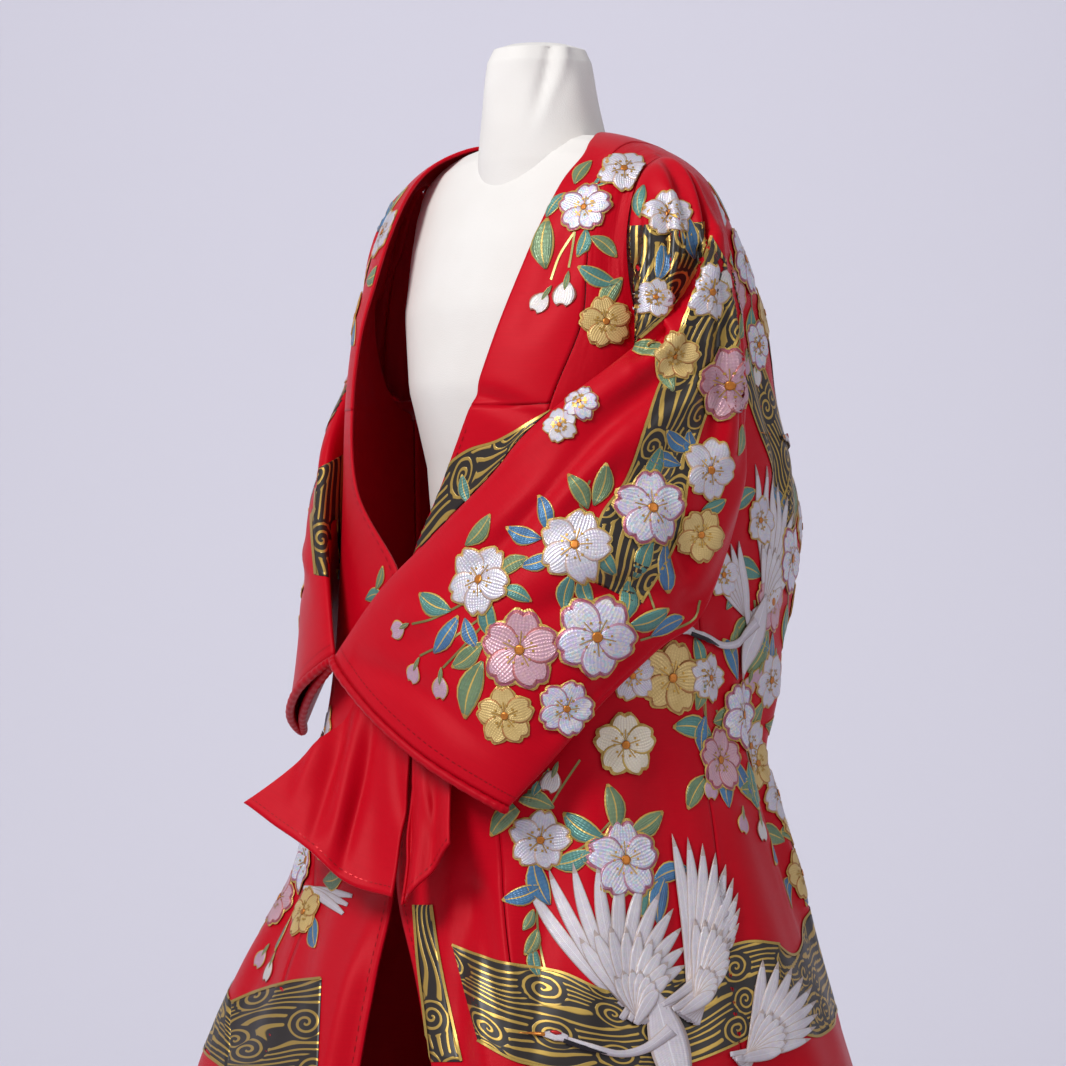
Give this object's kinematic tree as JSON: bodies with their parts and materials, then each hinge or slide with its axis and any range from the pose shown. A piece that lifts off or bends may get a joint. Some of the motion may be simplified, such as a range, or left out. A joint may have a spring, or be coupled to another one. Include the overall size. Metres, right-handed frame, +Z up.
{
  "type": "uchikake kimono on dress form",
  "caption": "Long open silk over-kimono with wide sleeves, padded cuffs and a trailing hem, draped on a limbless dress form with a pole and round base.",
  "frame": {"origin": "centre of the form's round base, on the floor", "axes": "+Z up, the form faces -Y, its left side is +X"},
  "size_m": [1.0249, 1.2677, 1.4949],
  "materials": {
    "red_silk": "red figured satin with gold and silver embroidery",
    "cuff_silk": "padded red silk roll",
    "form_cloth": "cream stretch cloth over a padded torso",
    "stand_metal": "satin grey paint",
    "stand_wood": "satin white paint"
  },
  "bodies": {
    "root": {"body_left": "red_silk", "body_right": "red_silk", "okumi_left": "red_silk", "okumi_right": "red_silk", "collar": "red_silk", "collar_end_left": "red_silk", "collar_end_right": "red_silk", "sleeve_left": "red_silk", "sleeve_right": "red_silk", "cuff_roll_left": "cuff_silk", "cuff_roll_right": "cuff_silk", "form_torso": "form_cloth", "form_pole": "stand_metal", "form_base": "stand_wood"}
  },
  "joints": []
}
